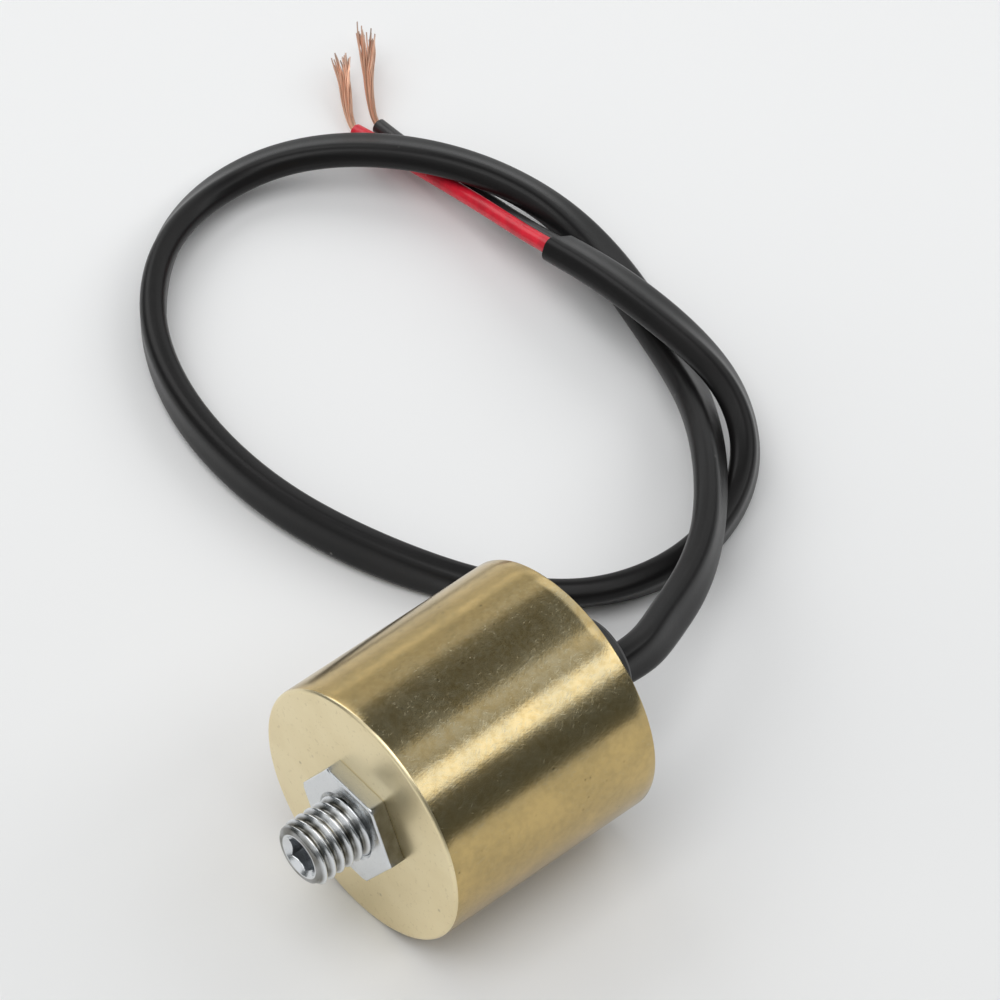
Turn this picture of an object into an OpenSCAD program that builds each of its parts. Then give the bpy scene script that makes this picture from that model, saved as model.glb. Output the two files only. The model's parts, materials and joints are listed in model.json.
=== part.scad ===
// Compressor solenoid valve: a brass can with a hollow threaded inlet stud, a sprung plunger, a coil
// and a flat two-core lead. Millimetres. The axis lies along Y, the stud points to -Y, and the can
// lies on its side on z = 0. Stations along the axis are measured back from the can's front face.

/* [Brass body] */
// Outer diameter of the can
body_d = 32; // [30:0.5:40]
// Length of the can, front face to back rim
body_l = 29.5; // [28:0.5:40]
// Side wall thickness of the can
body_wall = 2.1; // [1.5:0.1:2.6]
// Thickness of the front wall that holds the stud and the valve chamber
front_wall = 8; // [7.6:0.1:9]
// Chamfer of the front rim
front_chamfer = 0.5; // [0.2:0.1:1]
// Chamfer of the back rim
rear_chamfer = 0.3; // [0.1:0.1:0.6]
// Diameter of the drilled outlet in the side of the can
outlet_d = 2; // [1:0.1:2.2]

/* [Inlet stud] */
// Major diameter of the stud's thread
stud_d = 8; // [7:0.5:9]
// How far the stud stands in front of the can
stud_out = 8.8; // [6:0.1:14]
// Length of thread inside the front wall
stud_in = 4; // [3.5:0.1:4.2]
// Width across flats of the hex socket
socket_af = 4; // [3:0.1:4.5]
// Depth of the hex socket
socket_depth = 4.5; // [3:0.1:6]
// Diameter of the stud's air bore
stud_bore_d = 2.6; // [2:0.1:3]
// Diameter of the valve seat's orifice
orifice_d = 1.6; // [1:0.1:2]
// Outer diameter of the valve seat's nozzle
nozzle_d = 3.6; // [3:0.1:4.4]
// How far the nozzle stands out of the stud's inner end
nozzle_h = 1.2; // [0.8:0.1:1.4]
// Chamfer at the stud's tip
stud_chamfer = 0.7; // [0.3:0.1:1]
// Pitch of the stud's thread
thread_pitch = 1.25; // [1:0.05:1.5]
// Gap between the lock nut and the free thread
free_gap = 0.3; // [0.2:0.05:0.5]
// Turn of the socket's corners round the axis, in degrees
socket_turn = 42; // [0:1:60]
// Countersink at the mouth of the socket
socket_chamfer = 0.35; // [0.2:0.05:0.5]

/* [Lock nut] */
// Width across flats of the nut
nut_af = 13; // [12:0.5:16]
// Thickness of the nut
nut_t = 2.1; // [1.8:0.1:5]
// Turn of the nut's corners round the axis, in degrees
nut_turn = 55; // [0:1:60]
// Radial depth of the chamfer on the nut's front corners
nut_chamfer = 0.4; // [0.2:0.1:0.6]
// Radial gap between the nut's countersinks and the thread's major diameter
nut_countersink = 0.25; // [0.1:0.05:0.4]

/* [Guide tube] */
// Wall thickness of the guide tube
tube_wall = 0.5; // [0.3:0.05:0.7]
// Diameter of the guide tube's flange
flange_d = 13; // [12:0.1:14]
// Thickness of the guide tube's flange
flange_t = 0.6; // [0.4:0.1:0.8]
// Section diameter of the O-ring under the flange
tube_ring_d = 1; // [0.8:0.1:1.2]

/* [Plunger] */
// Diameter of the plunger
plunger_d = 8.2; // [7.6:0.1:8.8]
// Travel of the plunger
stroke = 1.2; // [0.6:0.1:1.6]
// Radius of the air grooves along the plunger
groove_r = 0.8; // [0.5:0.1:1]
// Number of air grooves
groove_count = 4; // [2:1:6]
// Diameter of the seal in the plunger's nose
seal_d = 5; // [4.6:0.1:5.4]
// Thickness of the seal
seal_t = 1.8; // [1.4:0.1:2.4]
// How far the seal stands proud of the plunger
seal_proud = 0.2; // [0.1:0.05:0.4]

/* [Return spring] */
// Mean diameter of the spring
spring_d = 3.2; // [2.8:0.1:3.4]
// Wire diameter of the spring
spring_wire = 0.45; // [0.3:0.05:0.6]
// Number of turns
spring_turns = 8; // [6:1:9]
// Depth of the spring's pocket in the plunger
plunger_pocket = 5; // [4:0.1:6]
// Depth of the spring's pocket in the fixed core
core_pocket = 2; // [1.5:0.1:2.4]

/* [Fixed core] */
// Length of the core in front of the rear washer
core_l = 5.6; // [5:0.1:6.4]
// Diameter of the core's neck through the rear washer
neck_d = 6; // [5:0.1:6.6]
// Length of the neck behind its retaining ring
neck_lip = 0.4; // [0.3:0.05:0.5]
// Thickness of the retaining ring
clip_t = 0.7; // [0.5:0.05:0.8]
// Radial height of the retaining ring
clip_h = 1.6; // [1.2:0.1:1.8]
// Section diameter of the core's O-ring
core_ring_d = 0.9; // [0.7:0.05:1.1]

/* [Coil] */
// Thickness of the two flux washers
washer_t = 1.5; // [1:0.1:1.8]
// Wall thickness of the flux sleeve
sleeve_wall = 1.3; // [1:0.1:1.6]
// Wall thickness of the bobbin's tube
bobbin_wall = 0.9; // [0.6:0.1:1.2]
// Thickness of the bobbin's flanges
bobbin_flange = 1.2; // [0.8:0.1:1.4]
// Thickness of the tape round the winding
tape_t = 0.3; // [0.1:0.05:0.4]
// Depth of the winding below the bobbin's flanges
winding_inset = 1; // [0.6:0.1:1.6]
// Diameter of the coil's lead wires
lead_wire_d = 0.5; // [0.3:0.05:0.7]

/* [End cap] */
// Thickness of the cap's back wall
cap_wall = 1.6; // [1.2:0.1:2]
// Thickness of the cap's skirt
skirt_wall = 1.2; // [0.8:0.1:1.6]
// How far the cap sits inside the back rim
cap_recess = 0.5; // [0.2:0.1:1]
// Depth of the room for the splices inside the cap
splice_room = 3.7; // [3.6:0.1:4.4]
// Diameter of the boss round the lead
boss_d = 11; // [10.6:0.1:13]
// How far the boss stands behind the back rim
boss_out = 6.3; // [3:0.1:9]
// Wall thickness of the sleeves over the splices
splice_wall = 0.2; // [0.1:0.05:0.25]

/* [Lead] */
// Thickness of the flat sheath
sheath_t = 3.2; // [2.8:0.1:3.4]
// Width of the flat sheath
sheath_w = 5.6; // [5:0.1:5.8]
// Diameter of an insulated core
core_d = 2; // [1.6:0.1:2.1]
// Distance between the two cores in the sheath
core_pitch = 2.1; // [2.1:0.05:2.4]
// Diameter of a bundle of strands
strand_d = 1.2; // [0.8:0.1:1.6]

/* [Fits] */
// Gap between parts that are assembled once
fit_gap = 0.1; // [0.05:0.01:0.12]
// Radial gap round the sliding plunger
slide_gap = 0.08; // [0.05:0.01:0.1]
// Radial gap of the engaged threads
thread_gap = 0.05; // [0.02:0.01:0.08]

/* [Hidden] */
$fn = 64;
eps = 0.01;

axis_z = body_d / 2;
face_y = (stud_out - body_l - boss_out) / 2;

// Stations along the axis
seat_s = stud_in + nozzle_h;
plunger_s = seat_s + seal_proud;
ring_room = flange_t + tube_ring_d;
cap_face_s = body_l - cap_recess;
cap_inner_s = cap_face_s - cap_wall;
rear_washer_s = cap_inner_s - splice_room - washer_t;
cap_front_s = rear_washer_s + washer_t;
core_s = rear_washer_s - core_l;
plunger_l = core_s - stroke - plunger_s;
bobbin_s = front_wall + washer_t;
bobbin_l = rear_washer_s - bobbin_s;
neck_end_s = cap_front_s + clip_t + neck_lip;
core_ring_s = (core_pocket + core_l) / 2;
boss_end_s = body_l + boss_out;

// Threads are plain cylinders: the free one at its major diameter, the engaged one at its pitch diameter
engaged_r = stud_d / 2 - 3 * sqrt(3) / 16 * thread_pitch;
thread_hole_r = engaged_r + thread_gap;

// Radii
bore_r = body_d / 2 - body_wall;
tube_in_r = plunger_d / 2 + slide_gap;
tube_out_r = tube_in_r + tube_wall;
chamber_r = tube_in_r + fit_gap;
flange_bore_r = flange_d / 2 + fit_gap;
sleeve_out_r = bore_r - fit_gap;
sleeve_in_r = sleeve_out_r - sleeve_wall;
washer_r = sleeve_in_r - fit_gap;
bobbin_in_r = tube_out_r + fit_gap;
bobbin_r = bobbin_in_r + bobbin_wall;
bobbin_flange_r = sleeve_in_r - 2 * fit_gap;
winding_r = bobbin_flange_r - winding_inset;
core_r = tube_in_r - fit_gap / 2;
spring_pocket_r = (spring_d + spring_wire) / 2 + 2 * fit_gap;
clip_in_r = neck_d / 2 - clip_h / 3;

// The lead inside the cap: the sheath's place in the boss, and where the wires of the coil come through
lead_x = 1;
lead_drop = 2;
lead_y = face_y + cap_inner_s;
tail_s = cap_inner_s - splice_wall - fit_gap - core_d / 2;
tail_bend = cap_inner_s - tail_s;
wire_x = winding_r - 2;
wire_bend = 0.8;
splice_r = core_d / 2 + fit_gap / 2 + splice_wall;
splice_x0 = 3.4;
splice_x1 = wire_x - wire_bend;
splice_mid = (splice_x0 + splice_x1) / 2;
wire_hole_r = lead_wire_d / 2 + 2 * fit_gap;

// Route of the sheath: x, y, z of its middle, and how far its upper edge leans to the right
sheath_route = [
  [lead_x, lead_y, axis_z - lead_drop, 0], [lead_x, 17, axis_z - lead_drop, 0], [lead_x, 20, 14, 0],
  [1.1, 24, 14, 0], [0.9, 28.5, 13.4, -14], [-1.5, 33.5, 12.3, -20], [-4.1, 39.5, 11.2, -18],
  [-8.2, 46, 10.4, -10], [-13.4, 51.6, 9.6, -14], [-19.7, 57.3, 8.5, -25], [-28.5, 63.7, 5.4, -38],
  [-38.2, 68.7, 2.7, -54], [-48.5, 72, 2.5, -66], [-58, 74.4, 2.6, -63], [-66.3, 74.2, 4.2, -58],
  [-73.6, 71.3, 6.2, -61], [-81.2, 67.2, 6.8, -66], [-89.2, 61.7, 5.9, -70], [-95.3, 55.1, 4.1, -66],
  [-97.6, 47.3, 2.7, -58], [-95.8, 38.7, 2.9, -35], [-91, 31, 3, -4], [-83, 24, 3, 3],
  [-73, 19.5, 3, -1], [-62.5, 17.5, 3, -5], [-52, 17.5, 3, -6], [-42.4, 19.4, 3, -7],
  [-32.3, 22.8, 3, -3], [-23.7, 27.7, 3, 25], [-16.7, 34.8, 2.9, 42], [-13.2, 43, 3, 24],
  [-13.4, 51.2, 3, 15], [-16.5, 59.3, 3, 4], [-20.9, 64.8, 4.8, -11], [-27.4, 67.6, 7.6, -33],
  [-35.5, 68.5, 8.3, -56], [-44, 68.6, 8.4, -64], [-52, 68.7, 7.6, -62], [-58.8, 68.3, 6.6, -60]];
sheath_rings = 54;
sheath_edge_r = 1.3;
sheath_end = len(sheath_route) - 1;

// Routes of the cores after their first few millimetres, and of the bare strands after theirs
core_lead_out = 5;
red_route = [[-70, 67.4, 5.2], [-77, 67.4, 4], [-83.5, 67.3, 2.9], [-90, 67.1, 1.9], [-95.1, 66.8, 1.1]];
black_route = [[-70, 69.6, 3.4], [-75.5, 70, 2.5], [-81, 69.9, 1.8], [-88, 69.6, 1.2], [-94, 69.6, 1.1]];
core_rings = 8;
core_sides = 8;
strand_lead_out = 1.5;
red_strand_route = [[-100, 69.3, 2], [-104.3, 71.9, 4]];
black_strand_route = [[-100.1, 73.5, 2.5], [-105.5, 77.4, 4.6]];
strand_rings = 4;

// Puts a shape drawn along +Z onto the valve's axis, starting at station s
module at_station(s) {
  translate([0, face_y + s, axis_z]) rotate([-90, 0, 0]) children();
}

// A tube or washer on the axis
module ring_part(s, length, r_out, r_in) {
  at_station(s) difference() {
    cylinder(h = length, r = r_out);
    translate([0, 0, -eps]) cylinder(h = length + 2 * eps, r = r_in);
  }
}

// A hexagonal prism by its width across flats
module hex_prism(af, h) {
  cylinder(h = h, r = af / sqrt(3), $fn = 6);
}

// An O-ring whose middle lies at station s
module o_ring(s, mean_r, section_d) {
  at_station(s) rotate_extrude() translate([mean_r, 0]) circle(d = section_d);
}

// Swept tubes
function unit(v) = v / norm(v);
function place(p) = [p.x, p.y, p.z];
function weights(t) =
  [pow(1 - t, 3), 3 * pow(t, 3) - 6 * t * t + 4, -3 * pow(t, 3) + 3 * t * t + 3 * t + 1, pow(t, 3)] / 6;
function padded(p) = concat([2 * p[0] - p[1]], p, [2 * p[len(p) - 1] - p[len(p) - 2]]);
function on_route(p, u) =
  let (q = padded(p), i = min(floor(u), len(p) - 2), w = weights(u - i))
  w[0] * q[i] + w[1] * q[i + 1] + w[2] * q[i + 2] + w[3] * q[i + 3];
function heading(p, u) =
  let (h = 0.01) unit(place(on_route(p, min(len(p) - 1, u + h))) - place(on_route(p, max(0, u - h))));
function leaned(p, u) = let (c = on_route(p, u)) len(c) > 3 ? c[3] : 0;
function side_way(p, u) = unit(cross(heading(p, u), [0, 0, 1]));
function wide_way(p, u) =
  let (s = side_way(p, u), a = leaned(p, u)) cos(a) * cross(s, heading(p, u)) + sin(a) * s;
function ring_on(p, u, section) =
  let (c = place(on_route(p, u)), wide = wide_way(p, u), flat = cross(heading(p, u), wide))
  [for (q = section) c + q.x * flat + q.y * wide];
function rings_on(p, count, section) =
  [for (i = [0:count]) ring_on(p, i * (len(p) - 1) / count, section)];
function round_section(d, sides) =
  [for (i = [0:sides - 1]) let (a = 360 * i / sides) d / 2 * [cos(a), sin(a)]];
function flat_section(t, w, r) =
  [for (q = [0:3], k = [0:2])
    let (a = 90 * q + 45 * k, x = q == 0 || q == 3 ? 1 : -1, y = q < 2 ? 1 : -1)
    [x * (t / 2 - r) + r * cos(a), y * (w / 2 - r) + r * sin(a)]];

module swept(rings) {
  n = len(rings[0]);
  last = len(rings) - 1;
  sides = [for (k = [0:last - 1], j = [0:n - 1])
    let (a = k * n + j, b = k * n + (j + 1) % n)
    each [[a, b, b + n], [a, b + n, a + n]]];
  caps = [[for (j = [n - 1:-1:0]) j], [for (j = [0:n - 1]) last * n + j]];
  polyhedron(points = [for (r = rings) each r], faces = concat(sides, caps));
}

// Brass can: front wall with the tapped hole, the valve chamber and the seat of the tube's flange
module brass_body() {
  r = body_d / 2;
  color("goldenrod") at_station(0) difference() {
    rotate_extrude() polygon([
      [0, 0], [r - front_chamfer, 0], [r, front_chamfer], [r, body_l - rear_chamfer],
      [r - rear_chamfer, body_l], [bore_r, body_l], [bore_r, front_wall], [flange_bore_r, front_wall],
      [flange_bore_r, front_wall - ring_room], [0, front_wall - ring_room]]);
    translate([0, 0, -eps]) cylinder(h = front_wall, r = thread_hole_r);
    translate([0, 0, stud_in]) cylinder(h = front_wall, r = chamber_r);
    // The outlet is drilled from the side into the valve chamber, on the side away from the front view
    translate([0, 0, seat_s]) rotate([0, -90, 0]) cylinder(h = r + eps, d = outlet_d);
  }
}

// Hollow stud: hex socket, air bore, orifice and the nozzle that the plunger's seal closes
module inlet_stud() {
  r = stud_d / 2;
  length = stud_out + stud_in;
  free_l = stud_out - nut_t - free_gap;
  mouth_r = socket_af / sqrt(3) + socket_chamfer;
  color("silver") at_station(-stud_out) difference() {
    union() {
      rotate_extrude() polygon([
        [0, 0], [r - stud_chamfer, 0], [r, stud_chamfer], [r, free_l], [engaged_r, free_l],
        [engaged_r, length - stud_chamfer / 2], [engaged_r - stud_chamfer / 2, length], [0, length]]);
      cylinder(h = length + nozzle_h, d = nozzle_d);
    }
    translate([0, 0, -eps]) rotate(-socket_turn) hex_prism(socket_af, socket_depth + eps);
    cylinder(h = mouth_r - stud_bore_d / 2, r1 = mouth_r, r2 = stud_bore_d / 2);
    cylinder(h = length - nozzle_h, d = stud_bore_d);
    cylinder(h = length + nozzle_h + eps, d = orifice_d);
  }
}

// Thin hex nut with its front corners chamfered and its hole countersunk on both faces
module lock_nut() {
  corner_r = nut_af / sqrt(3);
  outer_r = corner_r + nut_chamfer;
  slope = 1 / sqrt(3);
  mouth_r = stud_d / 2 + nut_countersink;
  sink = mouth_r - thread_hole_r;
  color("silver") at_station(-nut_t) intersection() {
    rotate(-nut_turn) hex_prism(nut_af, nut_t);
    rotate_extrude() polygon([
      [thread_hole_r, sink], [mouth_r, 0], [corner_r - nut_chamfer, 0], [outer_r, 2 * nut_chamfer * slope],
      [outer_r, nut_t], [mouth_r, nut_t], [thread_hole_r, nut_t - sink]]);
  }
}

// Flanged tube that guides the plunger and holds the core
module guide_tube() {
  flange_s = front_wall - flange_t;
  color("gainsboro") at_station(flange_s) difference() {
    union() {
      cylinder(h = rear_washer_s - flange_s, r = tube_out_r);
      cylinder(h = flange_t, d = flange_d);
    }
    translate([0, 0, -eps]) cylinder(h = body_l, r = tube_in_r);
  }
}

module tube_o_ring() {
  mean_r = (flange_bore_r + chamber_r) / 2;
  color("black") o_ring(front_wall - flange_t - tube_ring_d / 2, mean_r, tube_ring_d);
}

// Armature: tapered nose with the seal's pocket, spring pocket behind, air grooves along its side
module plunger() {
  r = plunger_d / 2;
  nose = 1;
  color("dimgray") at_station(plunger_s) difference() {
    rotate_extrude() polygon([[0, 0], [r - nose, 0], [r, nose], [r, plunger_l], [0, plunger_l]]);
    translate([0, 0, -eps]) cylinder(h = seal_t - seal_proud + eps, d = seal_d + 2 * fit_gap);
    translate([0, 0, plunger_l - plunger_pocket]) cylinder(h = plunger_pocket + eps, r = spring_pocket_r);
    for (i = [0:groove_count - 1]) rotate(360 * i / groove_count + 45)
      translate([r + groove_r / 3, 0, -eps]) cylinder(h = plunger_l + 2 * eps, r = groove_r);
  }
}

module plunger_seal() {
  color("darkslategray") at_station(seat_s) cylinder(h = seal_t, d = seal_d);
}

// Coil spring between the two pockets, with flat closing turns at both ends
module return_spring() {
  from_s = plunger_s + plunger_l - plunger_pocket + spring_wire / 2;
  to_s = core_s + core_pocket - spring_wire / 2;
  steps = 14;
  wire_sides = 6;
  closed_turns = 0.8;
  count = spring_turns * steps;
  function rise(u) =
    min(1, max(0, (u * spring_turns - closed_turns) / (spring_turns - 2 * closed_turns)));
  rings = [for (i = [0:count])
    let (a = 360 * i / steps, way = [cos(a), sin(a), 0], s = from_s + (to_s - from_s) * rise(i / count))
    [for (q = round_section(spring_wire, wire_sides)) (spring_d / 2 + q.x) * way + [0, 0, s + q.y]]];
  color("lightgray") at_station(0) swept(rings);
}

// Pole piece: spring pocket, O-ring groove, and a neck through the rear washer with the clip's groove
module fixed_core() {
  groove_w = core_ring_d + 2 * fit_gap;
  groove_s = core_ring_s - groove_w / 2;
  neck_l = neck_end_s - rear_washer_s;
  groove_r_in = core_r - core_ring_d;
  clip_from = core_l + washer_t;
  color("dimgray") at_station(core_s) difference() {
    rotate_extrude() polygon([
      [0, 0], [core_r, 0], [core_r, groove_s], [groove_r_in, groove_s], [groove_r_in, groove_s + groove_w],
      [core_r, groove_s + groove_w], [core_r, core_l], [neck_d / 2, core_l], [neck_d / 2, clip_from],
      [clip_in_r, clip_from], [clip_in_r, clip_from + clip_t], [neck_d / 2, clip_from + clip_t],
      [neck_d / 2, core_l + neck_l], [0, core_l + neck_l]]);
    translate([0, 0, -eps]) cylinder(h = core_pocket + eps, r = spring_pocket_r);
  }
}

module core_o_ring() {
  color("black") o_ring(core_s + core_ring_s, tube_in_r - core_ring_d / 2, core_ring_d);
}

// Open retaining ring in the neck's groove
module core_clip() {
  gap_w = neck_d / 2;
  color("gray") difference() {
    ring_part(cap_front_s, clip_t, clip_in_r + clip_h, clip_in_r);
    at_station(cap_front_s - eps) translate([-gap_w / 2, -body_d, 0]) cube([gap_w, body_d, clip_t + 2 * eps]);
  }
}

module front_flux_washer() {
  color("slategray") ring_part(front_wall, washer_t, washer_r, tube_out_r + fit_gap);
}

// Holes for the coil's two wires: one on each side, at the height of the core that each one joins
module wire_holes(s, length, r) {
  for (side = [-1, 1]) at_station(s - eps)
    translate([side * wire_x, wire_drop(side), 0]) cylinder(h = length + 2 * eps, r = r);
}

// How far below the axis the wire on that side lies: black goes to -X and red to +X
function wire_drop(side) = lead_drop - side * core_pitch / 2;

module rear_flux_washer() {
  color("slategray") difference() {
    ring_part(rear_washer_s, washer_t, washer_r, neck_d / 2 + fit_gap);
    wire_holes(rear_washer_s, washer_t, wire_hole_r + fit_gap);
  }
}

module flux_sleeve() {
  color("slategray") ring_part(front_wall, cap_front_s - front_wall, sleeve_out_r, sleeve_in_r);
}

// Spool of the coil
module coil_bobbin() {
  color("ivory") difference() {
    at_station(bobbin_s) rotate_extrude() polygon([
      [bobbin_in_r, 0], [bobbin_flange_r, 0], [bobbin_flange_r, bobbin_flange], [bobbin_r, bobbin_flange],
      [bobbin_r, bobbin_l - bobbin_flange], [bobbin_flange_r, bobbin_l - bobbin_flange],
      [bobbin_flange_r, bobbin_l], [bobbin_in_r, bobbin_l]]);
    wire_holes(bobbin_s + bobbin_l - bobbin_flange, bobbin_flange, wire_hole_r);
  }
}

module coil_winding() {
  color("chocolate")
    ring_part(bobbin_s + bobbin_flange, bobbin_l - 2 * bobbin_flange, winding_r, bobbin_r);
}

module coil_tape() {
  color("gold")
    ring_part(bobbin_s + bobbin_flange, bobbin_l - 2 * bobbin_flange, winding_r + tape_t, winding_r);
}

// Quarter bend in the plane of x and the axis: comes from station -r along the axis, leaves along +X
module quarter_bend(r, d) {
  rotate([90, 0, 0]) translate([r, 0, 0]) rotate([0, 0, 90]) rotate_extrude(angle = 90)
    translate([r, 0]) circle(d = d);
}

// Start and finish of the winding: each goes through the bobbin and the washer, bends and enters its sleeve
module coil_leads() {
  wind_end_s = bobbin_s + bobbin_l - bobbin_flange;
  color("peru") for (side = [-1, 1]) at_station(0) translate([0, wire_drop(side), 0]) {
    translate([side * wire_x, 0, wind_end_s])
      cylinder(h = tail_s - wire_bend - wind_end_s, d = lead_wire_d);
    translate([side * wire_x, 0, tail_s - wire_bend]) mirror([side > 0 ? 1 : 0, 0, 0])
      quarter_bend(wire_bend, lead_wire_d);
    translate([side * (splice_mid + fit_gap), 0, tail_s]) rotate([0, side * 90, 0])
      cylinder(h = splice_x1 - splice_mid - fit_gap, d = lead_wire_d);
  }
}

module splice_sleeves() {
  color("ivory") for (side = [-1, 1]) at_station(0)
    translate([side * splice_x0, wire_drop(side), tail_s]) rotate([0, side * 90, 0]) difference() {
      cylinder(h = splice_x1 - splice_x0, r = splice_r);
      translate([0, 0, -eps]) cylinder(h = splice_x1, d = core_d + fit_gap);
    }
}

// A core inside the cap: out of the sheath's end, round a bend and into its sleeve
module tail(side) {
  at_station(0) translate([lead_x, wire_drop(side), tail_s]) {
    translate([side * tail_bend, 0, 0]) rotate([0, side * 90, 0])
      cylinder(h = splice_mid - side * lead_x - tail_bend, d = core_d);
    mirror([side > 0 ? 0 : 1, 0, 0]) translate([0, 0, tail_bend]) mirror([0, 0, 1])
      quarter_bend(tail_bend, core_d);
  }
}

module red_tail() {
  color("red") tail(1);
}

module black_tail() {
  color("black") tail(-1);
}

// Black cap: a cup whose skirt stands on the sleeve and the washer, with the boss that the lead leaves from
module end_cap() {
  edge = 0.5;
  boss_r = boss_d / 2;
  h = boss_end_s - cap_front_s;
  face = cap_face_s - cap_front_s;
  color("black") at_station(cap_front_s) difference() {
    rotate_extrude() polygon([
      [0, splice_room], [sleeve_out_r - skirt_wall, splice_room], [sleeve_out_r - skirt_wall, 0],
      [sleeve_out_r, 0], [sleeve_out_r, face - edge], [sleeve_out_r - edge, face], [boss_r, face],
      [boss_r, h - edge], [boss_r - edge, h], [0, h]]);
    translate([lead_x, lead_drop, splice_room - eps]) linear_extrude(height = h)
      sheath_slot(sheath_t + 2 * fit_gap, sheath_w + 2 * fit_gap, sheath_edge_r + fit_gap);
  }
}

// Rounded outline of the sheath
module sheath_slot(t, w, r) {
  square([t - 2 * r, w], center = true);
  square([t, w - 2 * r], center = true);
  for (x = [-1, 1], y = [-1, 1]) translate([x * (t / 2 - r), y * (w / 2 - r)]) circle(r = r);
}

// Flat sheath: it leaves the boss on edge, twists as it lies along the floor and crosses over itself
module cable_sheath() {
  color([0.2, 0.2, 0.2])
    swept(rings_on(sheath_route, sheath_rings, flat_section(sheath_t, sheath_w, sheath_edge_r)));
}

// Route of a core from the sheath's end: side 1 lies on the sheath's upper edge, -1 on its lower one
function core_path(side, rest) =
  let (
    from = place(on_route(sheath_route, sheath_end))
      + side * core_pitch / 2 * wide_way(sheath_route, sheath_end),
    out = from + core_lead_out * heading(sheath_route, sheath_end))
  concat([from, out], rest);

// Route of the bare strands from a core's end
function strand_path(core, rest) =
  let (last = len(core) - 1, from = core[last])
  concat([from, from + strand_lead_out * heading(core, last)], rest);

module core_tube(path) {
  swept(rings_on(path, core_rings, round_section(core_d, core_sides)));
}

// Strands flare a little from the insulation to their tip
module strand_bundle(path) {
  flare = 0.5;
  swept([for (i = [0:strand_rings])
    ring_on(path, i * (len(path) - 1) / strand_rings,
      round_section(strand_d * (1 + flare * i / strand_rings), core_sides))]);
}

module red_core() {
  color("red") core_tube(core_path(1, red_route));
}

module black_core() {
  color([0.15, 0.15, 0.15]) core_tube(core_path(-1, black_route));
}

module red_strands() {
  color("peru") strand_bundle(strand_path(core_path(1, red_route), red_strand_route));
}

module black_strands() {
  color("peru") strand_bundle(strand_path(core_path(-1, black_route), black_strand_route));
}

brass_body();
inlet_stud();
lock_nut();
guide_tube();
tube_o_ring();
plunger();
plunger_seal();
return_spring();
fixed_core();
core_o_ring();
core_clip();
front_flux_washer();
rear_flux_washer();
flux_sleeve();
coil_bobbin();
coil_winding();
coil_tape();
coil_leads();
splice_sleeves();
red_tail();
black_tail();
end_cap();
cable_sheath();
red_core();
black_core();
red_strands();
black_strands();
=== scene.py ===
"""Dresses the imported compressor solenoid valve: can, stud, nut, cap, inner parts, lead and studio."""

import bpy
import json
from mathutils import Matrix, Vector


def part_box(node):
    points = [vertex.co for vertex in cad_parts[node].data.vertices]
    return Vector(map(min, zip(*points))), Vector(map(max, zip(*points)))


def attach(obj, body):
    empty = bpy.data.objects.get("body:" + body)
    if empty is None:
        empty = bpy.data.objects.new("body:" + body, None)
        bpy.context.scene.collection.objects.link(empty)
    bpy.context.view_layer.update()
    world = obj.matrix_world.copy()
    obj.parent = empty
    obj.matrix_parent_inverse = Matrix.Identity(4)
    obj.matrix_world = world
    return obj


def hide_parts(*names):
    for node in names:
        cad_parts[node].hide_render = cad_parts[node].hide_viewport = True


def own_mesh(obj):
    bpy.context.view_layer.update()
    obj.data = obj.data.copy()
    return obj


bl_info = {
    "name": "Compressor Solenoid Valve",
    "version": (1, 0, 0),
    "blender": (4, 5, 0),
    "location": "View3D > Sidebar > Valve",
    "description": "Builds the visible pieces of a brass solenoid valve round its packed frame",
    "category": "Object",
}

import json
import math

import bmesh
import bpy
from bpy.props import FloatProperty, FloatVectorProperty, IntProperty, PointerProperty
from mathutils import Matrix, Vector

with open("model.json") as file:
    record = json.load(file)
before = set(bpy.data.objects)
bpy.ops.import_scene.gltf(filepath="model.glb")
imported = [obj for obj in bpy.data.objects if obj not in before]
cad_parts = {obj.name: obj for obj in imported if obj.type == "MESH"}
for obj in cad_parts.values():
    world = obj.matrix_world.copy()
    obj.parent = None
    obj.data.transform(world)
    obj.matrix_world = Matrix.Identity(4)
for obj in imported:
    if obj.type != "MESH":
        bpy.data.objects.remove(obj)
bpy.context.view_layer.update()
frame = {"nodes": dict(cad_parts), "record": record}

MM = 0.001
TAU = 2 * math.pi
BODY = "valve"
UP = Vector((0, 0, 1))

CAN_LOW, CAN_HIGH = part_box("brass_body")
NUT_LOW, NUT_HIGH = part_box("lock_nut")
STUD_LOW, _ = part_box("inlet_stud")
FACE_Y = CAN_LOW[1]
AXIS_Z = (CAN_LOW[2] + CAN_HIGH[2]) / 2

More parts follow.
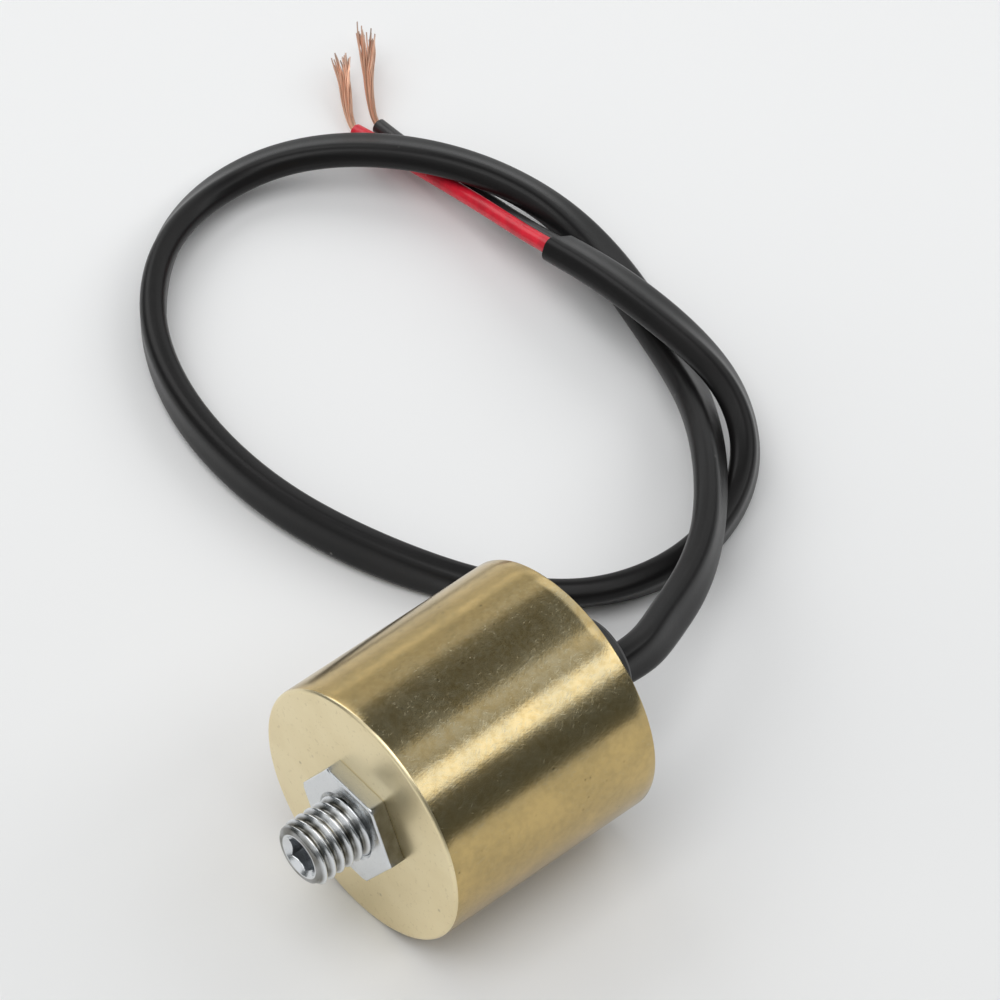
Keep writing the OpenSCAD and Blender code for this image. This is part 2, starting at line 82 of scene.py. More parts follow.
# The lead's route, as in the part's source: x, y and z of the sheath's middle in millimetres, and how many
# degrees its upper edge leans to the right
SHEATH_ROUTE = (
    (1, 13.9, 14, 0), (1, 17, 14, 0), (1, 20, 14, 0), (1.1, 24, 14, 0), (0.9, 28.5, 13.4, -14),
    (-1.5, 33.5, 12.3, -20), (-4.1, 39.5, 11.2, -18), (-8.2, 46, 10.4, -10), (-13.4, 51.6, 9.6, -14),
    (-19.7, 57.3, 8.5, -25), (-28.5, 63.7, 5.4, -38), (-38.2, 68.7, 2.7, -54), (-48.5, 72, 2.5, -66),
    (-58, 74.4, 2.6, -63), (-66.3, 74.2, 4.2, -58), (-73.6, 71.3, 6.2, -61), (-81.2, 67.2, 6.8, -66),
    (-89.2, 61.7, 5.9, -70), (-95.3, 55.1, 4.1, -66), (-97.6, 47.3, 2.7, -58), (-95.8, 38.7, 2.9, -35),
    (-91, 31, 3, -4), (-83, 24, 3, 3), (-73, 19.5, 3, -1), (-62.5, 17.5, 3, -5), (-52, 17.5, 3, -6),
    (-42.4, 19.4, 3, -7), (-32.3, 22.8, 3, -3), (-23.7, 27.7, 3, 25), (-16.7, 34.8, 2.9, 42),
    (-13.2, 43, 3, 24), (-13.4, 51.2, 3, 15), (-16.5, 59.3, 3, 4), (-20.9, 64.8, 4.8, -11),
    (-27.4, 67.6, 7.6, -33), (-35.5, 68.5, 8.3, -56), (-44, 68.6, 8.4, -64), (-52, 68.7, 7.6, -62),
    (-58.8, 68.3, 6.6, -60))
RED_ROUTE = ((-70, 67.4, 5.2), (-77, 67.4, 4), (-83.5, 67.3, 2.9), (-90, 67.1, 1.9), (-95.1, 66.8, 1.1))
BLACK_ROUTE = ((-70, 69.6, 3.4), (-75.5, 70, 2.5), (-81, 69.9, 1.8), (-88, 69.6, 1.2), (-94, 69.6, 1.1))
CORE_LEAD_OUT = 5
CORE_PITCH = 2.1

# Bundles of strands past the end of each core: the way each one goes, and its number of strands
RED_BUNDLES = (
    (((-100.1, 69.2, 2), (-102.5, 70.7, 2.8), (-105.3, 71.9, 3.6)), 16),
    (((-99.9, 69.7, 2), (-102.1, 71.4, 2.8), (-104.6, 73.2, 4.2)), 14),
    (((-99.6, 69.5, 2.2), (-101.8, 71.4, 3.4), (-103.6, 73, 4.6)), 6))
BLACK_BUNDLES = (
    (((-97.9, 71.5, 2.2), (-100.2, 73, 3), (-103.5, 75.3, 3.8), (-106.8, 77.4, 4.6)), 18),
    (((-97.8, 71.7, 2.2), (-99.9, 73.3, 3), (-102.6, 76, 4.2), (-104.6, 77.7, 5)), 12),
    (((-97.9, 71.6, 2.2), (-100.1, 73.3, 3.4), (-103.8, 77.6, 5.4)), 5))

# The camera that was fitted to the photograph: where it stands, the way that it looks and its lens in millimetres
CAMERA_PLACE = (0.35343, -0.30458, 0.55776)
CAMERA_AIM = (-0.51157, 0.45101, -0.73135)
CAMERA_LENS = 231.79
SENSOR_WIDTH = 36

# Softboxes: the way to each one, its distance, its size across and along the can, and its level
SOFTBOXES = {
    "key_box": ((0.58, 0.451, 0.678), 1.2, 0.36, 1.6, 1.45),
    "ceiling_box": ((0.26, 0.451, 0.855), 1.3, 0.36, 0.8, 0.4),
    "left_box": ((-0.76, 0.45, 0.47), 1.3, 0.7, 0.9, 0.3),
    "low_left_box": ((-0.88, 0.45, 0.15), 1.3, 0.5, 0.9, 0.43),
    "front_box": ((-0.12, -0.75, 0.6), 1.4, 1.6, 1.5, 0.58),
    "top_box": ((0.15, -0.25, 0.95), 1.5, 1.1, 1.1, 1.75),
    "back_box": ((-0.2, 0.8, 0.56), 1.2, 1.5, 0.9, 0.66),
    "side_box": ((-0.74, 0.02, 0.67), 1.2, 0.8, 0.7, 1.4),
}
PANEL_POWER = 4
ROOM = (0.105, 0.114, 0.114)

# Ways square to the valve's axis, as shares of x and z: the side of the can that is rubbed and painted paler as a
# highlight, and the flat of the nut painted dark as a reflection
RUBBED_AND_HIGHLIT_WAY = (0.45, 0.9)
PAINTED_REFLECTION_WAY = (0.906, 0.423)

# Turns of the three sets of scratches round x, y and z
SCRATCH_TURNS = ((0.5, 0, 0.6), (-0.35, 0, -0.4), (0.1, 0, 0.1))

# Turn from one strand of a bundle to the next, which spreads them evenly
GOLDEN_ANGLE = 2.39996


class CanSizes(bpy.types.PropertyGroup):
    """Sizes of the turned brass can."""

    radius: FloatProperty(name="Radius", description="Outer radius of the can",
                          default=(CAN_HIGH[0] - CAN_LOW[0]) / 2, unit="LENGTH")
    length: FloatProperty(name="Length", description="Front face to back rim",
                          default=CAN_HIGH[1] - CAN_LOW[1], unit="LENGTH")
    wall: FloatProperty(name="Wall", description="Thickness of the side wall", default=2.1 * MM, unit="LENGTH")
    front_wall: FloatProperty(name="Front wall", description="Thickness of the front wall",
                              default=8 * MM, unit="LENGTH")
    front_rim: FloatProperty(name="Front rim", description="Rounding of the front rim",
                             default=0.5 * MM, unit="LENGTH")
    back_rim: FloatProperty(name="Back rim", description="Chamfer of the back rim",
                            default=0.3 * MM, unit="LENGTH")
    outlet: FloatProperty(name="Outlet", description="Diameter of the drilled outlet",
                          default=2 * MM, unit="LENGTH")


class StudSizes(bpy.types.PropertyGroup):
    """Sizes of the threaded stud and its lock nut."""

    pitch: FloatProperty(name="Pitch", description="Pitch of the thread", default=1.25 * MM, unit="LENGTH")
    depth: FloatProperty(name="Thread depth", description="Crest to root", default=0.54 * MM, unit="LENGTH")
    socket: FloatProperty(name="Socket", description="Width across flats of the hex socket",
                          default=4 * MM, unit="LENGTH")
    socket_turn: FloatProperty(name="Socket turn", description="Turn of the socket's corners round the axis",
                               default=math.radians(42), subtype="ANGLE")
    nut_turn: FloatProperty(name="Nut turn", description="Turn of the nut's corners round the axis",
                            default=math.radians(55), subtype="ANGLE")
    nut_flats: FloatProperty(name="Nut", description="Width across flats of the nut",
                             default=13 * MM, unit="LENGTH")


class LeadSizes(bpy.types.PropertyGroup):
    """Sizes of the flat lead, its cores and its strands."""

    thickness: FloatProperty(name="Thickness", description="Thickness of the flat sheath",
                             default=3.2 * MM, unit="LENGTH")
    width: FloatProperty(name="Width", description="Width of the flat sheath", default=5.6 * MM, unit="LENGTH")
    core: FloatProperty(name="Core", description="Diameter of an insulated core", default=2 * MM, unit="LENGTH")
    strand: FloatProperty(name="Strand", description="Diameter of a copper strand",
                          default=0.17 * MM, unit="LENGTH")
    seed: IntProperty(name="Seed", description="Seed of the strands' fraying", default=7)


class Finishes(bpy.types.PropertyGroup):
    """Colours of the valve's finishes."""

    brass: FloatVectorProperty(name="Brass", description="Turned side of the can",
                               default=(0.58, 0.425, 0.182), subtype="COLOR", min=0, max=1)
    face: FloatVectorProperty(name="Front face", description="Faced front of the can",
                              default=(0.88, 0.76, 0.49), subtype="COLOR", min=0, max=1)
    zinc: FloatVectorProperty(name="Zinc", description="Plating of the stud and the nut",
                              default=(0.78, 0.8, 0.82), subtype="COLOR", min=0, max=1)
    sheath: FloatVectorProperty(name="Sheath", description="Sheath of the lead",
                                default=(0.0075, 0.0072, 0.0074), subtype="COLOR", min=0, max=1)
    red: FloatVectorProperty(name="Red", description="Insulation of the red core",
                             default=(0.78, 0.016, 0.04), subtype="COLOR", min=0, max=1)
    copper: FloatVectorProperty(name="Copper", description="Bare strands",
                                default=(0.97, 0.59, 0.42), subtype="COLOR", min=0, max=1)


class Value:
    """A node's output, or one of its outputs, that takes part in sums."""

    def __init__(self, graph, socket):
        self.graph = graph
        self.socket = socket

    def out(self, name):
        """Another output of the same node."""
        return Value(self.graph, self.socket.node.outputs[name])

    def _sum(self, operation, first, second):
        return self.graph.add("ShaderNodeMath", {"operation": operation}, {0: first, 1: second})

    def __add__(self, other):
        return self._sum("ADD", self, other)

    def __radd__(self, other):
        return self._sum("ADD", other, self)

    def __sub__(self, other):
        return self._sum("SUBTRACT", self, other)

    def __rsub__(self, other):
        return self._sum("SUBTRACT", other, self)

    def __mul__(self, other):
        return self._sum("MULTIPLY", self, other)

    def __rmul__(self, other):
        return self._sum("MULTIPLY", other, self)

    def __truediv__(self, other):
        return self._sum("DIVIDE", self, other)

    def __rtruediv__(self, other):
        return self._sum("DIVIDE", other, self)

    def __pow__(self, other):
        return self._sum("POWER", self, other)


class Graph:
    """A node tree that is written as expressions."""

    def __init__(self, tree):
        self.tree = tree
        tree.nodes.clear()

    def add(self, kind, settings=None, inputs=None, out=0):
        """Adds one node: its settings first, then the values or links of its sockets."""
        node = self.tree.nodes.new(kind)
        for key, value in (settings or {}).items():
            setattr(node, key, value)
        for key, value in (inputs or {}).items():
            if isinstance(value, Value):
                self.tree.links.new(value.socket, node.inputs[key])
            else:
                node.inputs[key].default_value = value
        return Value(self, node.outputs[out]) if node.outputs else node

    def between(self, value, low, high, smooth=True):
        """0 where a value is below low, 1 above high."""
        kind = "SMOOTHSTEP" if smooth else "LINEAR"
        return self.add("ShaderNodeMapRange", {"interpolation_type": kind},
                        {"Value": value, "From Min": low, "From Max": high})

    def least(self, first, second):
        return self.add("ShaderNodeMath", {"operation": "MINIMUM"}, {0: first, 1: second})

    def most(self, first, second):
        return self.add("ShaderNodeMath", {"operation": "MAXIMUM"}, {0: first, 1: second})

    def apart(self, vector):
        """The x, y and z of a vector."""
        parts = self.add("ShaderNodeSeparateXYZ", None, {"Vector": vector})
        return parts, parts.out("Y"), parts.out("Z")

    def blend(self, factor, first, second):
        """A colour between two."""
        colours = {key: value if isinstance(value, Value) else (*value, 1)
                   for key, value in ((6, first), (7, second))}
        return self.add("ShaderNodeMix", {"data_type": "RGBA"}, {0: factor, **colours}, 2)


class Finish(Graph):
    """A material: patterns are measured in millimetres on the piece's own place."""

    def __init__(self, name):
        self.material = bpy.data.materials.new(name)
        self.material.use_nodes = True
        super().__init__(self.material.node_tree)
        place = self.add("ShaderNodeTexCoord", None, None, "Object")
        self.place = self.add("ShaderNodeVectorMath", {"operation": "SCALE"}, {0: place, "Scale": 1 / MM})

    def stretched(self, scale, turn=(0, 0, 0)):
        """The place, turned and then stretched."""
        return self.add("ShaderNodeMapping", {"vector_type": "TEXTURE"},
                        {"Vector": self.place, "Rotation": turn, "Scale": tuple(1 / s for s in scale)})

    def noise(self, scale, detail, vector=None):
        """Noise with that many waves to a millimetre."""
        return self.add("ShaderNodeTexNoise", None,
                        {"Vector": vector or self.place, "Scale": scale, "Detail": detail})

    def spots(self, scale, size):
        """Small round spots in some cells of a grid, 1 in the middle of a spot."""
        cells = self.add("ShaderNodeTexVoronoi", None, {"Vector": self.place, "Scale": scale}, "Distance")
        pick, _, _ = self.apart(cells.out("Color"))
        return (1 - self.between(cells, 0, size)) * self.between(pick, 0.55, 0.6)

    def from_axis(self):
        """Distance from the valve's axis."""
        x, _, z = self.apart(self.place)
        across = self.add("ShaderNodeCombineXYZ", None, {"X": x, "Z": z - AXIS_Z / MM})
        return self.add("ShaderNodeVectorMath", {"operation": "LENGTH"}, {0: across}, "Value")

    def toward(self, across, up):
        """How far a place lies from the valve's axis along a way square to it."""
        x, _, z = self.apart(self.place)
        return across * x + up * (z - AXIS_Z / MM)

    def bump(self, height, distance):
        """Normals of a pattern of which 1 is that many millimetres high."""
        return self.add("ShaderNodeBump", None, {"Distance": distance * MM, "Height": height})

    def done(self, sockets):
        """Joins the surface up and gives the material."""
        surface = self.add("ShaderNodeBsdfPrincipled", None, sockets)
        self.add("ShaderNodeOutputMaterial", None, {"Surface": surface})
        return self.material


def turned_brass(colour):
    """Side of the can: turned bright, clouded by tarnish, pitted, and scratched where it is rubbed; on that side,
    towards the light, it is also painted paler and greyer as a painted highlight.
    """
    f = Finish("turned_brass")
    mottle = f.between(f.noise(0.22, 4), 0.35, 0.68)
    cuts = [f.noise(4.2, 1, f.stretched((1, 0.2, 1), turn)) for turn in SCRATCH_TURNS]
    # Rubbed side of the can, partly real wear and partly painted highlight: more scratches and bump there, and a
    # paler, greyer tone where the light falls
    rubbed_and_highlit = f.between(f.toward(*RUBBED_AND_HIGHLIT_WAY), 11.5, 15.5)
    deepest = f.most(cuts[0], f.most(cuts[1], cuts[2])) + 0.06 * mottle + 0.09 * rubbed_and_highlit - 0.04
    scratch = f.between(deepest, 0.62, 0.82)
    gouge = f.between(deepest, 0.79, 0.855)
    tarnish = f.between(f.noise(1.2, 3), 0.38, 0.68)
    pit = f.spots(0.5, 0.13)
    clouded = f.blend(mottle * 0.45 + tarnish * (0.28 + 0.16 * rubbed_and_highlit), colour, (0.41, 0.31, 0.14))
    # Painted highlight mixed with wear: the side towards the light is painted paler and greyer
    worn_and_highlit = f.blend(rubbed_and_highlit * (0.45 + 0.2 * mottle - 0.35 * tarnish) + 0.3 * scratch, clouded, (0.53, 0.46, 0.29))
    base = f.blend(pit * 0.6, worn_and_highlit, (0.12, 0.085, 0.04))
    turning = f.noise(1, 2, f.stretched((0.05, 7, 0.05)))
    height = turning * 0.35 + (cuts[0] + cuts[1] + cuts[2]) * (0.3 + 0.35 * rubbed_and_highlit) - pit
    return f.done({"Base Color": base, "Metallic": 1.0,
                   "Roughness": 0.185 + 0.03 * mottle + 0.04 * scratch + 0.04 * gouge,
                   "Normal": f.bump(height, 0.006)})


def faced_brass(colour):
    """Front of the can: paler satin, with rings from facing and a few specks."""
    f = Finish("faced_brass")
    rings = f.add("ShaderNodeTexNoise", {"noise_dimensions": "1D"},
                  {"W": f.from_axis(), "Scale": 5, "Detail": 2})
    cloud = f.noise(0.18, 4)
    speck = f.between(f.noise(1.9, 3), 0.6, 0.72)
    pit = f.spots(0.3, 0.1)
    shade = f.blend(f.between(cloud, 0.35, 0.7) * 0.35, colour, (0.76, 0.63, 0.37))
    base = f.blend(f.least(pit * 0.5 + speck * 0.14, 1), shade, (0.3, 0.23, 0.12))
    return f.done({"Base Color": base, "Metallic": 1.0, "Roughness": 0.26 + 0.1 * cloud + 0.1 * speck,
                   "Normal": f.bump(rings * 0.3 - pit, 0.004)})


def bright_zinc(colour):
    """Plating of the stud and the nut: bright, darker in the thread's roots, and with a dark reflection painted
    on one flat of the nut.
    """
    f = Finish("bright_zinc")
    cloud = f.noise(0.6, 3)
    speck = f.between(f.noise(4, 2), 0.6, 0.72)
    radius = f.from_axis()
    # Darker in the thread's roots, unevenly
    groove = (1 - f.between(radius, 3.5, 3.9)) * f.between(radius, 2.75, 2.9)
    dark_roots = groove * (0.6 + 0.35 * f.between(f.noise(0.4, 1), 0.35, 0.65))
    plate = f.blend(f.least(speck * 0.35 + 0.3 * cloud, 1), colour, (0.55, 0.56, 0.57))
    _, y, _ = f.apart(f.place)
    # Painted reflection: one flat of the nut, behind its front edge, is painted dark as if it reflected dark
    # surroundings
    painted_reflection = f.between(f.toward(*PAINTED_REFLECTION_WAY), 6.1, 6.4) * f.between(y - NUT_LOW[1] / MM, 0.16, 0.3)
    with_painted_reflection = f.blend(painted_reflection * (0.7 + 0.4 * cloud), plate, (0.13, 0.12, 0.085))
    base = f.blend(dark_roots, with_painted_reflection, (0.09, 0.082, 0.06))
    return f.done({"Base Color": base, "Metallic": 1.0,
                   "Roughness": 0.2 + 0.04 * cloud + 0.015 * speck + 0.01 * dark_roots,
                   "Normal": f.bump(cloud + 0.4 * speck, 0.01)})


def sheath_vinyl(colour):
    """Satin sheath with drawn-out streaks and dust."""
    f = Finish("sheath_vinyl")
    along = f.add("ShaderNodeTexCoord", None, None, "UV")
    streaks = f.add("ShaderNodeTexNoise", None,
                    {"Vector": f.add("ShaderNodeMapping", None, {"Vector": along, "Scale": (9, 60, 1)}),
                     "Scale": 1.0, "Detail": 3})
    cloud = f.noise(0.12, 4)
    dust = f.spots(0.36, 0.1)
    base = f.blend(f.between(cloud, 0.3, 0.75) * 0.6, colour, (0.0125, 0.0112, 0.0112))
    dusty = f.blend(dust * 0.45, base, (0.4, 0.38, 0.36))
    return f.done({"Base Color": dusty, "Roughness": 0.27 + 0.12 * streaks + 0.3 * dust,
                   "Specular IOR Level": 0.22, "Normal": f.bump(streaks + 0.5 * f.noise(3, 2), 0.012)})


def insulation(name, colour, shade):
    """Gloss vinyl of a core."""
    f = Finish(name)
    cloud = f.noise(0.5, 3)
    grain = f.noise(5, 2)
    dust = f.spots(0.8, 0.14)
    base = f.blend(dust * 0.5, f.blend(f.between(cloud, 0.3, 0.7), colour, shade), (0.5, 0.45, 0.42))
    return f.done({"Base Color": base, "Roughness": 0.26 + 0.12 * cloud + 0.2 * dust,
                   "Normal": f.bump(grain + cloud, 0.012)})


def bare_copper(colour):
    """Fine strands, some older than others, greyer at their tips."""
    f = Finish("bare_copper")
    place = f.add("ShaderNodeAttribute", {"attribute_name": "strand"}, None, "Fac")
    number = f.add("ShaderNodeMath", {"operation": "FLOOR"}, {0: place})
    age = f.add("ShaderNodeTexWhiteNoise", {"noise_dimensions": "1D"}, {"W": number}, "Value")
    cloud = f.noise(0.6, 2)
    aged = 0.5 * f.between(age, 0.35, 1) + 0.1 * f.between(cloud, 0.35, 0.7)
    wire = f.blend(aged, colour, (0.3, 0.2, 0.15))
    base = f.blend(0.6 * f.between(place - number, 0.8, 1), wire, (0.36, 0.33, 0.31))
    return f.done({"Base Color": base, "Metallic": 0.8, "Roughness": 0.24 + 0.2 * cloud})


def moulded_plastic():
    """Black moulded cap: fine spark-eroded grain."""
    f = Finish("moulded_plastic")
    grain = f.noise(6, 3)
    cloud = f.noise(0.3, 3)
    base = f.blend(cloud, (0.018, 0.018, 0.019), (0.034, 0.033, 0.033))
    return f.done({"Base Color": base, "Roughness": 0.42 + 0.2 * grain, "Normal": f.bump(grain, 0.02)})


def inner_finish(name, colour, metallic, roughness, grain, stretch=(1, 1, 1)):
    """A hidden piece's finish: its colour with uneven tone, grain and gloss."""
    f = Finish(name)
    cloud = f.noise(0.4, 3)
    lines = f.noise(grain, 3, f.stretched(stretch))
    dark = tuple(0.7 * c for c in colour)
    base = f.blend(f.between(cloud, 0.35, 0.7) * 0.6, colour, dark)
    return f.done({"Base Color": base, "Metallic": metallic, "Roughness": roughness + 0.15 * lines,
                   "Normal": f.bump(lines, 0.01)})


INNER_FINISHES = {
    "stainless": ((0.62, 0.61, 0.59), 1.0, 0.22, 3, (0.1, 3, 0.1)),
    "magnetic_steel": ((0.42, 0.42, 0.43), 1.0, 0.3, 3, (0.1, 3, 0.1)),
    "spring_steel": ((0.5, 0.5, 0.51), 1.0, 0.25, 6),
    "seal_rubber": ((0.02, 0.02, 0.021), 0.0, 0.55, 6),
    "bobbin_nylon": ((0.72, 0.68, 0.57), 0.0, 0.4, 4),
    "enamelled_copper": ((0.42, 0.13, 0.04), 0.85, 0.3, 2, (0.1, 4, 0.1)),
    "coil_tape": ((0.75, 0.5, 0.05), 0.0, 0.25, 1, (0.3, 4, 0.3)),
    "splice_sleeving": ((0.7, 0.67, 0.58), 0.0, 0.6, 5, (1, 1, 4)),
}


def new_object(name, mesh, materials):
    """Links a mesh to the scene, smooth apart from its sharp edges."""
    for material in materials:
        mesh.materials.append(material)
    mesh.shade_smooth()
    mesh.set_sharp_from_angle(angle=math.radians(32))
    piece = bpy.data.objects.new(name, mesh)
    bpy.context.scene.collection.objects.link(piece)
    return piece


def carried(piece, slot, *nodes):
    """Puts a finished piece on the valve's body in place of its solids."""
    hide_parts(*nodes)
    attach(piece, BODY)


def skin(name, rings, bands=None, closed=False):
    """A mesh of rings with as many points each: closed on itself, or capped at both ends."""
    count = len(rings[0])
    mesh = bpy.data.meshes.new(name)
    shape = bmesh.new()
    points = [[shape.verts.new(p) for p in ring] for ring in rings]
    pairs = list(zip(points, points[1:]))
    if closed:
        pairs.append((points[-1], points[0]))
    for row, (near, far) in enumerate(pairs):
        for k in range(count):
            j = (k + 1) % count
            face = shape.faces.new((near[k], near[j], far[j], far[k]))
            face.material_index = bands[row] if bands else 0
    if not closed:
        shape.faces.new(list(reversed(points[0])))
        shape.faces.new(points[-1])
    bmesh.ops.recalc_face_normals(shape, faces=shape.faces)
    shape.to_mesh(mesh)
    shape.free()
    return mesh


def revolve(name, rows, segments, bands=None):
    """A closed skin round the valve's axis. A row is a radius, or a rule of the angle for it, and a station."""
    rings = []
    for radius, station in rows:
        ring = []
        for k in range(segments):
            a = TAU * k / segments
            r = radius(a) if callable(radius) else radius
            ring.append((r * math.cos(a), FACE_Y + station, AXIS_Z + r * math.sin(a)))
        rings.append(ring)
    return skin(name, rings, bands, closed=True)


def steps(first, last, count):
    """Evenly spaced numbers, both ends included."""
    return [first + (last - first) * k / count for k in range(count + 1)]


def hexagon(flats, turn):
    """A hexagon's radius by the angle, with a corner at that turn."""
    return lambda a: flats / 2 / math.cos((a - turn) % (TAU / 6) - TAU / 12)


def set_inputs(modifier, values):
    """Sets a modifier's inputs by the names of its tree's sockets."""
    for item in modifier.node_group.interface.items_tree:
        if item.item_type == "SOCKET" and item.in_out == "INPUT" and item.name in values:
            modifier[item.identifier] = values[item.name]


def apply_tree(piece, tree, values):
    """Runs a geometry tree on a piece and keeps the result as its plain mesh."""
    modifier = piece.modifiers.new(tree.name, "NODES")
    modifier.node_group = tree
    set_inputs(modifier, values)
    graph = bpy.context.evaluated_depsgraph_get()
    mesh = bpy.data.meshes.new_from_object(piece.evaluated_get(graph), preserve_all_data_layers=True,
                                           depsgraph=graph)
    piece.modifiers.remove(modifier)
    piece.data = mesh
    return piece


def new_tree(name, inputs):
    """A geometry tree with named inputs, as a graph, its inputs by name and its output's link."""
    tree = bpy.data.node_groups.new(name, "GeometryNodeTree")
    tree.interface.new_socket("Geometry", in_out="INPUT", socket_type="NodeSocketGeometry")
    for label, kind in inputs:
        tree.interface.new_socket(label, in_out="INPUT", socket_type=kind)
    tree.interface.new_socket("Geometry", in_out="OUTPUT", socket_type="NodeSocketGeometry")
    graph = Graph(tree)
    given = graph.add("NodeGroupInput")
    return graph, {label: given.out(label) for label in ("Geometry", *(i[0] for i in inputs))}


def close_tree(graph, geometry, material):
    """Ends a tree: material set, instances made real."""
    dressed = graph.add("GeometryNodeSetMaterial", None, {"Geometry": geometry, "Material": material})
    real = graph.add("GeometryNodeRealizeInstances", None, {"Geometry": dressed})
    graph.add("NodeGroupOutput", None, {"Geometry": real})
    return graph.tree


def thread_tree():
    """Cuts a screw thread into the points marked as threaded, round the valve's axis."""
    graph, given = new_tree("Screw thread", (
        ("Pitch", "NodeSocketFloat"), ("Depth", "NodeSocketFloat"), ("Crest Radius", "NodeSocketFloat"),
        ("Inside", "NodeSocketBool"), ("Material", "NodeSocketMaterial")))
    x, y, z = graph.apart(graph.add("GeometryNodeInputPosition"))
    up = z - AXIS_Z
    across = graph.add("ShaderNodeCombineXYZ", None, {"X": x, "Z": up})
    radius = graph.add("ShaderNodeVectorMath", {"operation": "LENGTH"}, {0: across}, "Value")
    angle = graph.add("ShaderNodeMath", {"operation": "ARCTAN2"}, {0: up, 1: x})
    spare_turns = 20  # keep the count of turns above zero
    turns = (y - FACE_Y) / given["Pitch"] + angle / TAU + spare_turns
    turn = graph.add("ShaderNodeMath", {"operation": "FRACT"}, {0: turns})
    flank = graph.add("ShaderNodeMath", {"operation": "ABSOLUTE"}, {0: turn - 0.5}) * 2
    screw = given["Crest Radius"] - given["Depth"] * graph.between(flank, 0.1, 0.86, smooth=False)
    cut = graph.add("GeometryNodeSwitch", {"input_type": "FLOAT"},
                    {"Switch": given["Inside"], "False": graph.least(radius, screw),
                     "True": graph.most(radius, screw)})
    ratio = cut / radius
    moved = graph.add("ShaderNodeCombineXYZ", None, {"X": x * ratio, "Y": y, "Z": up * ratio + AXIS_Z})
    marked = graph.add("GeometryNodeInputNamedAttribute", {"data_type": "BOOLEAN"}, {"Name": "threaded"})
    placed = graph.add("GeometryNodeSetPosition", None,
                       {"Geometry": given["Geometry"], "Selection": marked, "Position": moved})
    return close_tree(graph, placed, given["Material"])


def strand_tree():
    """Lays a bundle of strands along a guide: they spread and fray towards their uneven tips."""
    graph, given = new_tree("Strand bundle", (
        ("Strands", "NodeSocketInt"), ("Bundle Radius", "NodeSocketFloat"), ("Flare", "NodeSocketFloat"),
        ("Twist", "NodeSocketFloat"), ("Fray", "NodeSocketFloat"), ("Wire Radius", "NodeSocketFloat"),
        ("Seed", "NodeSocketInt"), ("Material", "NodeSocketMaterial")))
    guide = graph.add("GeometryNodeMeshToCurve", None, {"Mesh": given["Geometry"]})
    even = graph.add("GeometryNodeResampleCurve", {"mode": "COUNT"}, {"Curve": guide, "Count": 34})
    copies = graph.add("GeometryNodeDuplicateElements", {"domain": "SPLINE"},
                       {"Geometry": even, "Amount": given["Strands"]})
    number = copies.out("Duplicate Index")
    along = graph.add("GeometryNodeSplineParameter", None, None, "Factor")
    normal = graph.add("GeometryNodeInputNormal", None, None, "Normal")
    tangent = graph.add("GeometryNodeInputTangent")
    side = graph.add("ShaderNodeVectorMath", {"operation": "CROSS_PRODUCT"}, {0: tangent, 1: normal})
    reach = ((number + 0.5) / given["Strands"]) ** 0.5 * given["Bundle Radius"] \
        * (0.85 + given["Flare"] * along)
    angle = number * GOLDEN_ANGLE + given["Twist"] * along
    spread = []
    for operation, way in (("COSINE", normal), ("SINE", side)):
        share = graph.add("ShaderNodeMath", {"operation": operation}, {0: angle}) * reach
        spread.append(graph.add("ShaderNodeVectorMath", {"operation": "SCALE"}, {0: way, "Scale": share}))
    walk = graph.add("ShaderNodeCombineXYZ", None, {"X": along * 2.2, "Y": given["Seed"] * 3.1})
    drift = graph.add("ShaderNodeTexNoise", {"noise_dimensions": "4D"},
                      {"Vector": walk, "W": number * 7.3, "Scale": 1.0, "Detail": 1.0}, "Color")
    centred = graph.add("ShaderNodeVectorMath", {"operation": "SUBTRACT"}, {0: drift, 1: (0.5, 0.5, 0.5)})
    stray = graph.add("ShaderNodeVectorMath", {"operation": "SCALE"},
                      {0: centred, "Scale": given["Fray"] * along * along})
    offset = spread[0]
    for part in (spread[1], stray):
        offset = graph.add("ShaderNodeVectorMath", {"operation": "ADD"}, {0: offset, 1: part})
    laid = graph.add("GeometryNodeSetPosition", None, {"Geometry": copies, "Offset": offset})
    tally = number + (0.005 + 0.99 * along)  # the strand's number, and as a fraction how far along it
    marked = graph.add("GeometryNodeStoreNamedAttribute", {"data_type": "FLOAT", "domain": "POINT"},
                       {"Geometry": laid, "Name": "strand", "Value": tally})
    ends = graph.add("FunctionNodeRandomValue", {"data_type": "FLOAT"},
                     {2: 0.84, 3: 1.0, "ID": number, "Seed": given["Seed"]}, 1)
    cut = graph.add("GeometryNodeTrimCurve", {"mode": "FACTOR"}, {"Curve": marked, 3: ends})
    wire = graph.add("GeometryNodeCurvePrimitiveCircle", {"mode": "RADIUS"},
                     {"Resolution": 6, "Radius": given["Wire Radius"]})
    tubes = graph.add("GeometryNodeCurveToMesh", None, {"Curve": cut, "Profile Curve": wire, "Fill Caps": True})
    return close_tree(graph, tubes, given["Material"])


def on_route(route, u):
    """A point on the smooth curve that a route steers."""
    points = [Vector(p) for p in route]
    points = [2 * points[0] - points[1], *points, 2 * points[-1] - points[-2]]
    i = min(int(u), len(route) - 2)
    t = u - i
    weights = ((1 - t) ** 3, 3 * t ** 3 - 6 * t * t + 4, -3 * t ** 3 + 3 * t * t + 3 * t + 1, t ** 3)
    return sum((points[i + k] * w for k, w in enumerate(weights)), 0 * points[0]) / 6


def heading(route, u):
    h = 0.01
    ahead = on_route(route, min(len(route) - 1, u + h)) - on_route(route, max(0, u - h))
    return Vector(ahead[:3]).normalized()


def section_at(route, u):
    """Middle of a lead at a place on its route, with its heading and the ways of its thickness and width."""
    c = on_route(route, u)
    lean = math.radians(c[3]) if len(c) > 3 else 0
    way = heading(route, u)
    side = way.cross(UP).normalized()
    wide = math.cos(lean) * side.cross(way) + math.sin(lean) * side
    return Vector(c[:3]), way, way.cross(wide), wide


